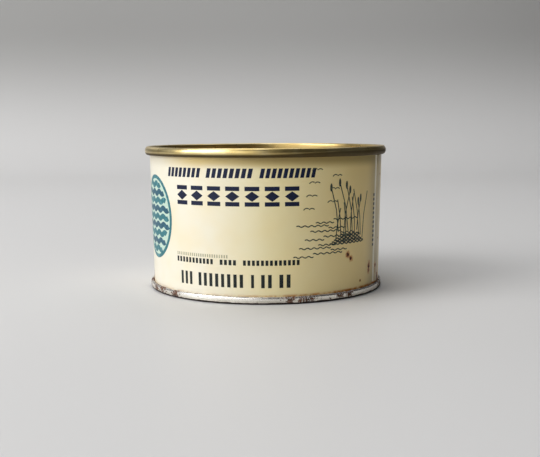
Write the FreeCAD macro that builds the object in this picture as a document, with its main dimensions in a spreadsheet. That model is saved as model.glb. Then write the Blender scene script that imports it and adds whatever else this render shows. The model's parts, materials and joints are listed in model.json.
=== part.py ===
import FreeCAD, Part
import math
import os

import Sketcher

# An open three-piece tinplate can without its lid: a tapered body with a lapped side seam
# and an outward-rolled rim, double-seamed to a recessed bottom end.
#
# Millimetres. The origin is the centre of the flat ring the can stands on, +Z runs up the
# axis, and the front of the can faces -Y.

SIZES = {
    # Overall
    "can_height": 52.3,      # standing ring to the top of the rim
    "base_radius": 42.2,     # outer face of the wall at its foot
    "wall_taper": 1.2,       # outward lean of the wall, in degrees
    "body_plate": 0.25,
    "end_plate": 0.28,
    # Rolled rim
    "bead_height": 3.1,
    "bead_radius": 0.87,     # roll over the top edge
    "bead_swell": 40.0,      # degrees that each roll leaves to the bead's rounded side
    "bead_gap": 0.17,        # between the tucked edge and the wall
    "bead_tuck": 0.6,        # straight part of the tucked edge
    # Double seam round the base
    "seam_height": 2.6,
    "seam_gap": 0.17,        # film of sealing compound between the layers
    "stand_run": 0.2,        # flat part of the edge that the can stands on
    "hook_gap": 0.35,        # between a hook's tip and the fold above or below it
    # Bottom end
    "sink_depth": 3.9,       # standing ring to the outside of the countersink
    "sink_radius": 0.95,     # roll over the countersink's top
    "panel_drop": 1.9,       # countersink's top down to the outer panel
    "panel_bend": 0.6,
    "ring_margin": 6.5,      # countersink to the first expansion ring
    "ring_pitch": 8.0,       # one expansion ring to the next
    "ring_rise": 0.5,
    "ring_slope": 30.0,      # in degrees
    "ring_bend": 0.5,
    # Side seam
    "lap_width": 6.0,
    "lap_turn": -23.0,       # outer ply's cut edge, in degrees from +X towards +Y
    "lap_fade": 84.0,        # degrees over which the outer ply sinks back to the round
    "lap_inset": 0.25,       # seam and rim to the ends of the lap
}
RING_COUNT = 2

LEFT = 1
RIGHT = -1

# Radii of the faces that meet in the double seam, from its inside to its outside
INNER_FACE = "(Can.base_radius - Can.body_plate)"
CHUCK_FACE = f"({INNER_FACE} - Can.seam_gap)"
COVER_FACE = "(Can.base_radius + Can.seam_gap + Can.end_plate)"
HOOK_FACE = f"({COVER_FACE} + Can.seam_gap + Can.body_plate)"
SEAM_FACE = f"({HOOK_FACE} + Can.seam_gap)"

# Bends of the double seam: the end's lower corners, the body's inside them, the end's upper fold
END_CORNER = f"(({SEAM_FACE} - {CHUCK_FACE} - Can.stand_run) / 2)"
FOOT_CORNER = f"({END_CORNER} - Can.seam_gap)"
COVER_FOLD = f"(({SEAM_FACE} - {COVER_FACE}) / 2)"

# Bends of the rolled rim: its rounded side, between the two rolls, and the roll under it
SWELL = "(Can.bead_swell * 1 deg)"
LOWER_ROLL = f"(Can.bead_radius - (Can.body_plate + Can.bead_gap) / (1 + cos({SWELL})))"
ROLLS_HEIGHT = f"((Can.bead_radius + {LOWER_ROLL}) * (1 - sin({SWELL})))"
SIDE_ROLL = f"((Can.bead_height - {ROLLS_HEIGHT}) / (2 * sin({SWELL})))"

# Heights
FOOT = "(Can.end_plate + Can.seam_gap)"
HOOK_TIP = "(Can.seam_height - Can.end_plate - Can.hook_gap)"
COVER_TIP = f"({FOOT} + Can.body_plate + Can.hook_gap)"
LAP_FOOT = "(Can.seam_height + Can.lap_inset)"
LAP_TOP = "(Can.can_height - Can.bead_height - Can.lap_inset)"


def make_sheet(doc):
    """Write the driving dimensions into a spreadsheet, one aliased cell each."""
    sheet = doc.addObject("Spreadsheet::Sheet", "Can")
    for row, (alias, size) in enumerate(SIZES.items(), start=1):
        sheet.set(f"A{row}", str(size))
        sheet.setAlias(f"A{row}", alias)
    doc.recompute()


class Section:
    """One face of a bent sheet, drawn upright through the axis as tangent runs and bends."""

    def __init__(self, doc, name, radius, height, heading):
        """Start at a radius and height, both expressions, heading up (90) or down (-90)."""
        self.sketch = doc.addObject("Sketcher::SketchObject", name)
        self.sketch.Placement.Rotation = FreeCAD.Rotation(FreeCAD.Vector(1, 0, 0), 90)
        self.start = {"DistanceX": radius, "DistanceY": height}
        self.point = FreeCAD.Vector(self.value(radius), self.value(height), 0)
        self.heading = math.radians(heading)
        self.tail = None

    def value(self, expression):
        """Work an expression out to a plain number."""
        return float(self.sketch.evalExpression(expression))

    def bind(self, expression, kind, *places):
        """Add a dimension that follows an expression."""
        number = self.sketch.addConstraint(Sketcher.Constraint(kind, *places))
        self.sketch.setExpression(f"Constraints[{number}]", expression)

    def join(self, piece, enter, leave):
        """Tie a new piece's entering end to the path, or its first end to the start point."""
        if self.tail:
            self.sketch.addConstraint(Sketcher.Constraint("Tangent", *self.tail, piece, enter))
        else:
            self.sketch.addConstraint(Sketcher.Constraint("Vertical", piece))
            for kind, place in self.start.items():
                self.bind(place, kind, -1, 1, piece, enter, self.value(place))
        self.tail = (piece, leave)

    def line(self, length):
        """Draw a straight piece without its dimension."""
        start = self.point
        self.point = start + length * FreeCAD.Vector(math.cos(self.heading), math.sin(self.heading), 0)
        piece = self.sketch.addGeometry(Part.LineSegment(start, self.point), False)
        self.join(piece, 1, 2)
        return piece

    def run(self, length):
        """Go straight on for a length."""
        size = self.value(length)
        self.bind(length, "Distance", self.line(size), size)

    def run_to_height(self, height):
        """Go straight on up or down to a height."""
        size = self.value(height)
        piece = self.line((size - self.point.y) / math.sin(self.heading))
        self.bind(height, "DistanceY", -1, 1, piece, 2, size)

    def run_to_radius(self, radius):
        """Go straight on in or out to a radius."""
        size = self.value(radius)
        piece = self.line((size - self.point.x) / math.cos(self.heading))
        self.bind(radius, "DistanceX", -1, 1, piece, 2, size)

    def run_to_axis(self):
        """Go straight on to the can's axis."""
        piece = self.line(-self.point.x / math.cos(self.heading))
        self.sketch.addConstraint(Sketcher.Constraint("PointOnObject", piece, 2, -2))

    def bend(self, side, radius, turn):
        """Turn by a number of degrees to the left or right."""
        size = self.value(radius)
        sweep = side * math.radians(self.value(turn))
        inward = self.heading + side * math.pi / 2
        centre = self.point + size * FreeCAD.Vector(math.cos(inward), math.sin(inward), 0)
        first = inward + math.pi
        last = first + sweep
        circle = Part.Circle(centre, FreeCAD.Vector(0, 0, 1), size)
        arc = Part.ArcOfCircle(circle, min(first, last), max(first, last))
        piece = self.sketch.addGeometry(arc, False)
        if side == LEFT:
            self.join(piece, 1, 2)
        else:
            self.join(piece, 2, 1)
        self.bind(radius, "Radius", piece, size)
        self.bind(f"({turn}) * 1 deg", "Angle", piece, abs(sweep))
        self.point = centre + size * FreeCAD.Vector(math.cos(last), math.sin(last), 0)
        self.heading += sweep


def revolve_plate(doc, name, section, thickness):
    """Thicken a section to a plate's profile and turn it into a ring or a disc."""
    profile = doc.addObject("Part::Offset2D", f"{name}_profile")
    profile.Source = section.sketch
    profile.Mode = "Skin"
    profile.Fill = True
    profile.setExpression("Value", thickness)
    solid = doc.addObject("Part::Revolution", name)
    solid.Source = profile
    solid.Axis = FreeCAD.Vector(0, 0, 1)
    solid.Angle = 360
    solid.Solid = True
    return solid


def make_shell(doc):
    """Revolve the body: its hook in the base seam, the leaning wall and the rolled rim."""
    section = Section(doc, "body_section", HOOK_FACE, HOOK_TIP, heading=-90)
    section.run_to_height(f"{FOOT} + {FOOT_CORNER}")
    section.bend(RIGHT, FOOT_CORNER, "90")
    section.run("Can.stand_run")
    section.bend(RIGHT, FOOT_CORNER, "90 + Can.wall_taper")
    section.run_to_height("Can.can_height - Can.bead_radius * (1 - sin(Can.wall_taper * 1 deg))")
    section.bend(RIGHT, "Can.bead_radius", "180 - Can.wall_taper - Can.bead_swell")
    section.bend(RIGHT, SIDE_ROLL, "2 * Can.bead_swell")
    section.bend(RIGHT, LOWER_ROLL, "180 - Can.bead_swell")
    section.run("Can.bead_tuck")
    return revolve_plate(doc, "body_shell", section, "-Can.body_plate")


def wall_radius(height, depth):
    """Radius of the wall at a height, a part of the plate's thickness out from its inner face."""
    lean = "Can.wall_taper * 1 deg"
    above_bend = f"({height} - {FOOT} - {FOOT_CORNER}) * tan({lean})"
    return (f"{INNER_FACE} + {above_bend} + {FOOT_CORNER} * (1 - 1 / cos({lean}))"
            f" + {depth} * Can.body_plate / cos({lean})")


def make_cone(doc, name, depth, turn="0", fade="360", shift="0"):
    """Solid cone at a depth in the wall, or a slice of it moved out along the lap's edge."""
    cone = doc.addObject("Part::Cone", name)
    cone.setExpression("Radius1", wall_radius(LAP_FOOT, depth))
    cone.setExpression("Radius2", wall_radius(LAP_TOP, depth))
    cone.setExpression("Height", f"{LAP_TOP} - {LAP_FOOT}")
    cone.setExpression("Angle", f"({fade}) * 1 deg")
    cone.setExpression("Placement.Base.x", f"{shift} * cos(Can.lap_turn * 1 deg)")
    cone.setExpression("Placement.Base.y", f"{shift} * sin(Can.lap_turn * 1 deg)")
    cone.setExpression("Placement.Base.z", LAP_FOOT)
    cone.Placement.Rotation = FreeCAD.Rotation(FreeCAD.Vector(0, 0, 1), 0)
    cone.setExpression("Placement.Rotation.Angle", f"({turn}) * 1 deg")
    return cone


def combine(doc, kind, name, base, tool):
    """Join, cut or intersect two objects."""
    result = doc.addObject(kind, name)
    result.Base = base
    result.Tool = tool
    return result


def make_body(doc):
    """Lap the shell's side seam: the outer ply rides one plate out, over the inner ply."""
    overlap = "Can.lap_width / Can.base_radius * 180 / pi"
    outer = make_cone(doc, "lap_outer", "1", "Can.lap_turn", "Can.lap_fade", "Can.body_plate")
    core = make_cone(doc, "lap_core", "0.5")
    ply = combine(doc, "Part::Cut", "lap_ply", outer, core)
    lapped = combine(doc, "Part::Fuse", "lapped_shell", make_shell(doc), ply)
    relief = make_cone(doc, "lap_relief", "0", f"Can.lap_turn + {overlap}",
                       f"Can.lap_fade - {overlap}", "Can.body_plate")
    return combine(doc, "Part::Cut", "can_body", lapped, relief)


def make_end(doc):
    """Revolve the bottom end, from the hook that grips the body's to the centre of its panel."""
    section = Section(doc, "end_section", COVER_FACE, COVER_TIP, heading=90)
    section.run_to_height(f"Can.seam_height - Can.end_plate - {COVER_FOLD}")
    section.bend(RIGHT, COVER_FOLD, "180")
    section.run_to_height(f"Can.end_plate + {END_CORNER}")
    section.bend(RIGHT, END_CORNER, "90")
    section.run("Can.stand_run")
    section.bend(RIGHT, END_CORNER, "90")
    section.run_to_height("Can.sink_depth + Can.end_plate - Can.sink_radius")
    section.bend(LEFT, "Can.sink_radius", "180")
    section.run("Can.panel_drop - Can.sink_radius - Can.panel_bend")
    section.bend(RIGHT, "Can.panel_bend", "90")
    slope = "(Can.ring_slope * 1 deg)"
    bends_rise = f"(2 * Can.ring_bend + Can.end_plate) * (1 - cos({slope}))"
    for ring in range(RING_COUNT):
        inset = f"2 * Can.sink_radius + Can.ring_margin + {ring} * Can.ring_pitch"
        section.run_to_radius(f"{CHUCK_FACE} - ({inset})")
        section.bend(RIGHT, "Can.ring_bend", "Can.ring_slope")
        section.run(f"(Can.ring_rise - {bends_rise}) / sin({slope})")
        section.bend(LEFT, "Can.ring_bend + Can.end_plate", "Can.ring_slope")
    section.run_to_axis()
    return revolve_plate(doc, "can_end", section, "Can.end_plate")


def check(doc, nodes):
    """Stop if an object failed, a sketch has freedom left or a solid isn't sound."""
    for item in doc.Objects:
        if {"Invalid", "Error"} & set(item.State):
            raise RuntimeError(f"{item.Name} did not build")
        if item.isDerivedFrom("Sketcher::SketchObject") and item.solve() != 0:
            raise RuntimeError(f"{item.Name} has clashing dimensions")
    for node in nodes:
        shape = node.Shape
        if shape.isNull() or not shape.isValid() or len(shape.Solids) != 1:
            raise RuntimeError(f"{node.Label} is not one sound solid")


def main():
    """Build the can and write one STEP file for each piece."""
    doc = FreeCAD.newDocument("oyster_can")
    make_sheet(doc)
    nodes = [make_body(doc), make_end(doc)]
    doc.recompute()
    check(doc, nodes)
    os.makedirs("parts", exist_ok=True)
    for node in nodes:
        node.Shape.exportStep(f"parts/{node.Label}.step")
        box = node.Shape.BoundBox
        print(node.Label, f"{node.Shape.Volume:.1f} mm3", f"R {box.XMax:.2f}",
              f"Z {box.ZMin:.2f} to {box.ZMax:.2f}")


main()
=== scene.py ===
"""Dress the oyster can: enamelled body, tinplate bottom end, prints, floor, lamps and camera."""

import json
import logging
import math
from contextlib import contextmanager
from dataclasses import dataclass
from enum import Enum
from typing import Callable, Iterator

import bpy
from bpy.types import Material, Node, NodeSocket, NodeTree, Object
from mathutils import Matrix, Vector

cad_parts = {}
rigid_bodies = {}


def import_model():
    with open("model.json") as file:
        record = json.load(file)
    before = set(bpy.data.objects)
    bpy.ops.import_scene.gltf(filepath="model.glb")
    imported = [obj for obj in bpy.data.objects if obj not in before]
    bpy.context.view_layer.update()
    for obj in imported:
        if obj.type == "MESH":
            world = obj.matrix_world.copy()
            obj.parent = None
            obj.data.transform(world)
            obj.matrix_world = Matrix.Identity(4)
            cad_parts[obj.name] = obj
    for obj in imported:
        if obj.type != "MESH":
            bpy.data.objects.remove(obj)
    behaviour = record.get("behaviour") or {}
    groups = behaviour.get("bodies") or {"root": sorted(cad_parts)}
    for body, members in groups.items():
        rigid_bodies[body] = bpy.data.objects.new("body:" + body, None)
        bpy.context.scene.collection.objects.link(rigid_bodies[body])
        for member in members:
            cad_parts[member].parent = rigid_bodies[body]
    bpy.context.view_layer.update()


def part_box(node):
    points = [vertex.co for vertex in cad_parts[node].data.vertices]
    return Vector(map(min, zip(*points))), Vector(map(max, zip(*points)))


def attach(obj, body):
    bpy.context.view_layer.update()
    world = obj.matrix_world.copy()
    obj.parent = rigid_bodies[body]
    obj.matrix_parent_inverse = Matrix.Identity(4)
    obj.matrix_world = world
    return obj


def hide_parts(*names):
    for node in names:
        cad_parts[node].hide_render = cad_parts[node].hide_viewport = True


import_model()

LOG = logging.getLogger("oyster_can")
MM = 0.001
BODY = "root"
SHARP_EDGE = 35.0     # degrees, past which an edge stays crisp


# ---- Bench: selecting and shaping by hand ---------------------------------------------------


def deselect() -> None:
    """Leave no object selected."""
    for item in bpy.context.selected_objects:
        item.select_set(False)


def select_only(piece: Object) -> None:
    """Make a piece the only selected and active object.

    Args:
        piece: object to work on.
    """
    deselect()
    piece.select_set(True)
    bpy.context.view_layer.objects.active = piece


class Parts(Enum):
    """Parts of a mesh that are selected in edit mode; the value is Blender's name of them."""

    VERTICES = "VERT"
    FACES = "FACE"


@contextmanager
def editing(piece: Object, parts: Parts = Parts.VERTICES) -> Iterator[None]:
    """Hold a piece open in edit mode.

    Args:
        piece: mesh object to open.
        parts: what selections are made of.
    """
    select_only(piece)
    bpy.ops.object.mode_set(mode="EDIT")
    bpy.ops.mesh.select_mode(type=parts.value)
    yield
    bpy.ops.object.mode_set(mode="OBJECT")


def new_mesh(name: str) -> Object:
    """Add an empty mesh object at the origin, ready to be drawn in.

    Args:
        name: name of the piece.

    Returns:
        The new object.
    """
    deselect()
    bpy.ops.mesh.primitive_plane_add(size=MM)
    piece = bpy.context.object
    piece.name = name
    with editing(piece):
        bpy.ops.mesh.select_all(action="SELECT")
        bpy.ops.mesh.delete(type="VERT")
    return piece


def pick(piece: Object, wanted: Callable[[Vector], bool]) -> None:
    """Select the vertices of a closed piece that lie in a wanted place.

    Args:
        piece: mesh object in object mode.
        wanted: test of a vertex's place.
    """
    mesh = piece.data
    for items in (mesh.polygons, mesh.edges):
        items.foreach_set("select", [False] * len(items))
    for vertex in mesh.vertices:
        vertex.select = wanted(vertex.co)


def apply_modifier(piece: Object, kind: str, **settings: object) -> None:
    """Add a modifier with its settings and apply it.

    Args:
        piece: object that takes it.
        kind: Blender's name of the modifier type.
        settings: the modifier's attributes.
    """
    select_only(piece)
    modifier = piece.modifiers.new(kind.title(), kind)
    for name, value in settings.items():
        setattr(modifier, name, value)
    bpy.ops.object.modifier_apply(modifier=modifier.name)


def smooth(piece: Object, angle: float) -> None:
    """Shade a piece smooth, with edges sharper than an angle in degrees kept crisp."""
    select_only(piece)
    bpy.ops.object.shade_smooth_by_angle(angle=math.radians(angle))


def turn_about_axis(piece: Object, angle: float) -> None:
    """Turn a piece about the can's axis and apply the turn.

    Args:
        piece: object to turn.
        angle: angle in radians.
    """
    select_only(piece)
    piece.rotation_euler.z = angle
    bpy.ops.object.transform_apply(location=False, rotation=True, scale=False)


class Side(Enum):
    """Way a traced line turns; the value is the axis that a spin needs to turn it so."""

    LEFT = (0.0, 1.0, 0.0)
    RIGHT = (0.0, -1.0, 0.0)


class Tracer:
    """Line or ribbon traced in the XZ plane of the open mesh as runs and tangent bends."""

    def __init__(self, start: tuple[float, float], heading: float, width: float = 0.0) -> None:
        """Set the first vertex of a line, or the first edge of a ribbon.

        Args:
            start: x and z of the start, in metres.
            heading: direction of travel in degrees, from +X towards +Z.
            width: width of a ribbon; 0 traces a line.
        """
        self.point = Vector((start[0], 0.0, start[1]))
        self.heading = math.radians(heading)
        self.is_ribbon = width > 0.0
        across = width * self.left()
        bpy.ops.mesh.primitive_plane_add(size=MM, location=self.point - across / 2)
        bpy.ops.mesh.merge(type="CENTER")
        if self.is_ribbon:
            bpy.ops.mesh.extrude_vertices_move(TRANSFORM_OT_translate={"value": across})
            bpy.ops.mesh.select_linked()

    def ahead(self) -> Vector:
        """Unit vector along the line."""
        return Vector((math.cos(self.heading), 0.0, math.sin(self.heading)))

    def left(self) -> Vector:
        """Unit vector to the left of the line."""
        return Vector((-math.sin(self.heading), 0.0, math.cos(self.heading)))

    def run(self, length: float, steps: int = 1) -> None:
        """Go straight on.

        Args:
            length: distance in metres.
            steps: number of equal extrusions.
        """
        grow = bpy.ops.mesh.extrude_edges_move if self.is_ribbon else bpy.ops.mesh.extrude_vertices_move
        move = self.ahead() * (length / steps)
        for _ in range(steps):
            grow(TRANSFORM_OT_translate={"value": move})
            self.point += move

    def run_to_height(self, height: float, steps: int = 1) -> None:
        """Go straight on up or down to a height in metres."""
        self.run((height - self.point.z) / math.sin(self.heading), steps)

    def run_to_radius(self, radius: float, steps: int = 1) -> None:
        """Go straight on in or out to a radius in metres."""
        self.run((radius - self.point.x) / math.cos(self.heading), steps)

    def bend(self, side: Side, radius: float, turn: float, steps: int) -> None:
        """Turn on an arc.

        Args:
            side: way to turn.
            radius: radius of the arc in metres.
            turn: angle of the arc in degrees.
            steps: number of segments.
        """
        sign = 1.0 if side is Side.LEFT else -1.0
        centre = self.point + sign * radius * self.left()
        bpy.ops.mesh.spin(steps=steps, angle=math.radians(turn), center=centre, axis=side.value)
        self.heading += sign * math.radians(turn)
        self.point = centre - sign * radius * self.left()


# ---- Finishes -------------------------------------------------------------------------------

SOFT = {"interpolation_type": "SMOOTHSTEP"}     # a range turned into another, with soft ends
COLOURS = {"data_type": "RGBA"}
TIMES = {"operation": "MULTIPLY"}
PLUS = {"operation": "ADD"}
MINUS = {"operation": "SUBTRACT"}
MOST = {"operation": "MAXIMUM"}
LEAST = {"operation": "MINIMUM"}
MASK, UNDER, OVER = 0, 6, 7     # a Mix node's inputs when it mixes colours

Source = Node | NodeSocket      # what a node's input is linked from


def linear(colour: str) -> tuple[float, float, float, float]:
    """Turn an sRGB hex colour to the linear values that a shader takes.

    Args:
        colour: colour as #RRGGBB.

    Returns:
        Linear red, green, blue and full alpha.
    """
    values = [int(colour[at:at + 2], 16) / 255 for at in (1, 3, 5)]
    red, green, blue = [v / 12.92 if v <= 0.04045 else ((v + 0.055) / 1.055) ** 2.4 for v in values]
    return red, green, blue, 1.0


def live_output(source: Source) -> NodeSocket:
    """Find the socket that a source gives.

    Args:
        source: a socket, or a node, whose first output in use is meant.

    Returns:
        The socket to link from.
    """
    if isinstance(source, Node):
        return next(socket for socket in source.outputs if socket.enabled)
    return source


def add_node(tree: NodeTree, kind: str, inputs: dict | tuple = (), **settings: object) -> Node:
    """Add a shader node with its settings and links.

    Args:
        tree: node tree that takes it.
        kind: Blender's name of the node type, after ShaderNode.
        inputs: what goes in, in order or by the input's name or number: a number, a vector,
            a hex colour, or a socket or node to link.
        settings: the node's attributes.

    Returns:
        The new node.
    """
    node = tree.nodes.new(f"ShaderNode{kind}")
    for name, value in settings.items():
        setattr(node, name, value)
    for key, source in inputs.items() if isinstance(inputs, dict) else enumerate(inputs):
        if isinstance(source, Source):
            tree.links.new(live_output(source), node.inputs[key])
        else:
            node.inputs[key].default_value = linear(source) if isinstance(source, str) else source
    return node


@dataclass(frozen=True)
class RustSpot:
    """A rust spot: degrees from the front, height and radius in millimetres, and how tall it is."""

    turn: float
    height: float
    radius: float
    tall: float = 1.0


class Finish:
    """Material under construction: its nodes, its places on the piece and its layered colour."""

    NOISE_ROUGHNESS = 0.6
    FRAYED = (0.3, 0.7)       # noise values between which an edge frays

    def __init__(self, name: str, **surface: object) -> None:
        """Start a material whose shader sockets are set to plain values.

        Args:
            name: name of the real finish.
            surface: values of the shader's sockets, with _ for a space in their names.
        """
        self.material = bpy.data.materials.new(name)
        self.material.use_nodes = True
        self.tree = self.material.node_tree
        self.shader = self.tree.nodes["Principled BSDF"]
        for socket, value in surface.items():
            self.shader.inputs[socket.replace("_", " ")].default_value = value
        self.place = self.node("TexCoord").outputs["Object"]
        self.xyz = self.node("SeparateXYZ", (self.place,)).outputs

    def node(self, kind: str, inputs: dict | tuple = (), **settings: object) -> Node:
        """Add a node to this material; see add_node."""
        return add_node(self.tree, kind, inputs, **settings)

    def feed(self, socket: str, source: Source) -> None:
        """Link a node to one of the shader's sockets."""
        self.tree.links.new(live_output(source), self.shader.inputs[socket])

    def grain(self, size: float, detail: float = 2.0) -> dict:
        """Inputs of a noise with blotches of a size in millimetres; it runs from about 0.3 to 0.7."""
        return {"Vector": self.place, "Scale": 1 / (size * MM), "Detail": detail,
                "Roughness": self.NOISE_ROUGHNESS}

    def mottle(self, size: float, detail: float, span: tuple[float, float],
               reach: tuple[float, float] = (0.0, 1.0)) -> Node:
        """Soft blotches of a size in millimetres: a span of noise values becomes a reach of amounts."""
        noise = self.node("TexNoise", self.grain(size, detail))
        return self.node("MapRange", (noise, *span, *reach), **SOFT)

    def band(self, source: Source, rise: tuple[float, float], fall: tuple[float, float],
             top: float = 1.0) -> Node:
        """Mark the band between two soft edges.

        Args:
            source: distance that the edges are counted on, in metres.
            rise: where the mask rises from 0 to its top.
            fall: where it falls back to 0.
            top: the mask's value in between.

        Returns:
            The mask.
        """
        rising = self.node("MapRange", (source, *rise, 0.0, top), **SOFT)
        falling = self.node("MapRange", (source, *fall, 1.0, 0.0), **SOFT)
        return self.node("Math", (rising, falling), **TIMES)

    def layers(self, base: Source | str, *coats: tuple[Source | str, Source]) -> Source:
        """Lay coats of colour over a base.

        Args:
            base: colour of the base, as a node or in hex.
            coats: colour and mask of each coat, from the lowest up.

        Returns:
            The colour at each point.
        """
        for colour, mask in coats:
            base = self.node("Mix", {MASK: mask, UNDER: base, OVER: colour}, **COLOURS)
        return base

    def from_axis(self) -> Node:
        """Distance of each point from the can's axis, in metres."""
        level = self.node("VectorMath", (self.place, (1, 1, 0)), operation="MULTIPLY")
        return self.node("VectorMath", (level,), operation="LENGTH")

    def nearest(self, spots: tuple[RustSpot, ...], radius: Callable[[float], float],
                ragged: Source, fray: float) -> Node:
        """Distance to the nearest of several spots, counted in radii of that spot.

        Args:
            spots: the spots.
            radius: radius of the can's outside at a height, both in metres.
            ragged: noise that frays their edges.
            fray: strength of the fraying, in radii.

        Returns:
            The distance: 0 in the middle of a spot, 1 at its edge.
        """
        closest = None
        for spot in spots:
            squash = Vector((1, 1, 1 / spot.tall)) / (spot.radius * MM)
            centre = on_wall(spot.turn, spot.height * MM, radius(spot.height * MM))
            offset = self.node("VectorMath", (self.place, squash, -centre * squash),
                               operation="MULTIPLY_ADD")
            away = self.node("VectorMath", (offset,), operation="LENGTH")
            closest = away if closest is None else self.node("Math", (closest, away), **LEAST)
        frayed = self.node("MapRange", (ragged, *self.FRAYED, -fray, fray), **SOFT)
        return self.node("Math", (closest, frayed), **PLUS)

    def relief(self, height: Source, depth: float) -> None:
        """Raise the surface by a pattern, up to a depth in millimetres."""
        self.feed("Normal", self.node("Bump", {"Height": height, "Strength": 1.0, "Distance": depth * MM}))


def on_wall(turn: float, height: float, radius: float) -> Vector:
    """Point of the can's outside, by degrees from the front and by height and radius in metres."""
    angle = math.radians(turn)
    return Vector((radius * math.sin(angle), -radius * math.cos(angle), height))


@dataclass(frozen=True)
class CreamEnamel:
    """Cream printing enamel, roller-coated and stoved on tinplate, yellowing with age; its colour also
    carries painted sheen, painted shade and a painted highlight.
    """

    # A paler colour: painted sheen on the lit left, also the painted highlight on the side seam's cut edge
    painted_sheen: str = "#EEE8D5"
    cream: str = "#F1E4B1"
    # Used for the enamel's own yellowing in slow clouds, and for painted shade on the right and under the
    # rim
    yellowing_and_shade: str = "#EFD58E"
    # Colour of painted shade under the rim and about the side seam
    shade_colour: str = "#8B763C"
    rust: str = "#8A4A18"
    rust_dark: str = "#2A1408"
    rust_halo: str = "#C67A22"
    sheen_span: tuple[float, float] = (-27 * MM, 8 * MM)          # along X
    yellow_shade_span: tuple[float, float] = (4 * MM, 38 * MM)        # along X
    rim_shade: tuple[float, float] = (-4.5 * MM, -0.8 * MM)       # up from the rim's foot
    rim_tint_span: tuple[float, float] = (-37 * MM, -22 * MM)         # along X
    shade_span: tuple[float, float] = (-40 * MM, 0.0)             # along X
    seam_highlight: tuple[tuple, tuple] = ((-1.3 * MM, -0.5 * MM), (0.0, 0.2 * MM))     # across the seam
    seam_shade: tuple[tuple, tuple] = ((-9 * MM, 0.6 * MM), (3 * MM, 9 * MM))     # across the seam
    seam_side: tuple[float, float] = (0.0, 10 * MM)               # out from the axis to the seam
    rust_creep: tuple[float, float] = (0.1 * MM, 0.9 * MM)        # up from the base seam
    rust_side: tuple[float, float] = (-20 * MM, 30 * MM)          # along X
    spots: tuple[RustSpot, ...] = (
        RustSpot(42.0, 15.3, 0.8, 1.3), RustSpot(44.2, 13.8, 0.9), RustSpot(60.5, 9.2, 0.9, 2.2),
        RustSpot(69.2, 8.9, 1.1), RustSpot(69.3, 7.0, 0.5, 2.4), RustSpot(75.0, 42.1, 0.6),
        RustSpot(73.2, 18.7, 0.5), RustSpot(52.0, 5.2, 0.45), RustSpot(74.0, 4.2, 1.4, 1.5),
        RustSpot(-81.0, 4.0, 1.6, 1.3), RustSpot(150.0, 9.5, 1.1), RustSpot(214.0, 12.0, 0.7),
        RustSpot(231.0, 6.4, 0.9, 1.8),
    )

    def build(self, sizes: "CanSizes") -> Material:
        """Make the material.

        Args:
            sizes: the can's sizes, for the places of the marks.

        Returns:
            The material.
        """
        # A smooth sheen with no grain: the eye sees soft wide lights and small brown specks
        made = Finish("cream_enamel", Metallic=0.0, IOR=1.5, Coat_Weight=0.25, Coat_Roughness=0.12)
        across, height = made.xyz["X"], made.xyz["Z"]
        # Painted sheen: the lit left of the wall is paler, turning cream towards the middle
        past_sheen = made.node("MapRange", (across, *self.sheen_span), **SOFT)
        # Painted shade: the wall turns yellower towards the shaded right; the slow clouds of yellowing after
        # it are the enamel's own
        shaded_side = made.node("MapRange", (across, *self.yellow_shade_span), **SOFT)
        clouds = made.mottle(16.0, 2.0, (0.35, 0.75), (0.0, 0.3))
        # Painted shade close under the rim: the wall there is yellower and darker, least on the lit left
        low, high = self.rim_shade
        under_rim = made.node("MapRange", (height, sizes.rim_foot + low, sizes.rim_foot + high), **SOFT)
        off_left = made.node("MapRange", (across, *self.rim_tint_span), **SOFT)
        rim_shade_tint = made.node("Math", (under_rim, off_left), **TIMES)
        to_right = made.node("MapRange", (across, *self.shade_span, 0.25, 0.8), **SOFT)
        painted_shade = made.node("Math", (under_rim, to_right), **TIMES)
        # The side seam's cut edge has a painted highlight, paler where it catches the light, and the wall
        # about it has painted shade, browner
        edge = math.radians(90 + sizes.lap_turn)
        over_seam = made.node("VectorMath", (made.place, (math.cos(edge), math.sin(edge), 0)),
                              operation="DOT_PRODUCT")
        to_seam = made.node("VectorMath", (made.place, (math.sin(edge), -math.cos(edge), 0)),
                            operation="DOT_PRODUCT")
        near_side = made.node("MapRange", (to_seam, *self.seam_side), **SOFT)
        rubbed = made.band(over_seam, *self.seam_highlight)
        rubbed = made.node("Math", (rubbed, near_side), **TIMES)
        brown = made.band(over_seam, *self.seam_shade, 0.55)
        brown = made.node("Math", (brown, near_side), **TIMES)
        # Rust creeps up from the base seam, more on the right, and breaks out in spots
        low, high = self.rust_creep
        creep = made.node("MapRange", (height, sizes.seam_height + low, sizes.seam_height + high, 1.0, 0.0),
                          **SOFT)
        creep = made.node("Math", (creep, made.mottle(2.2, 4.0, (0.35, 0.6), (0.15, 1.0))), **TIMES)
        to_right = made.node("MapRange", (across, *self.rust_side, 0.2, 1.0), **SOFT)
        creep = made.node("Math", (creep, to_right), **TIMES)
        ragged = made.node("TexNoise", made.grain(0.9, 4.0))
        away = made.nearest(self.spots, sizes.wall_radius, ragged, 0.35)
        core = made.node("MapRange", (away, 0.5, 0.95, 1.0, 0.0), **SOFT)
        heart = made.node("MapRange", (away, 0.7, 0.1), **SOFT)
        ring = made.node("MapRange", (away, 0.7, 1.6, 0.85, 0.0), **SOFT)
        halo = made.node("Math", (creep, ring), **MOST)
        made.feed("Base Color", made.layers(
            self.painted_sheen, (self.cream, past_sheen), (self.yellowing_and_shade, shaded_side), (self.yellowing_and_shade, clouds),
            (self.yellowing_and_shade, rim_shade_tint), (self.shade_colour, painted_shade), (self.shade_colour, brown), (self.painted_sheen, rubbed),
            (self.rust_halo, halo), (made.layers(self.rust, (self.rust_dark, heart)), core)))
        sheen = made.mottle(7.0, 2.0, (0.3, 0.7), (0.30, 0.40))
        rusted = made.node("Math", (core, creep), **MOST)
        rusted = made.node("MapRange", (rusted, 0.0, 1.0, 0.0, 0.85), **SOFT)
        made.feed("Roughness", made.node("Math", (sheen, rusted), **MOST))
        made.relief(made.node("TexNoise", made.grain(12.0, 1.0)), 0.08)
        return made.material


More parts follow.
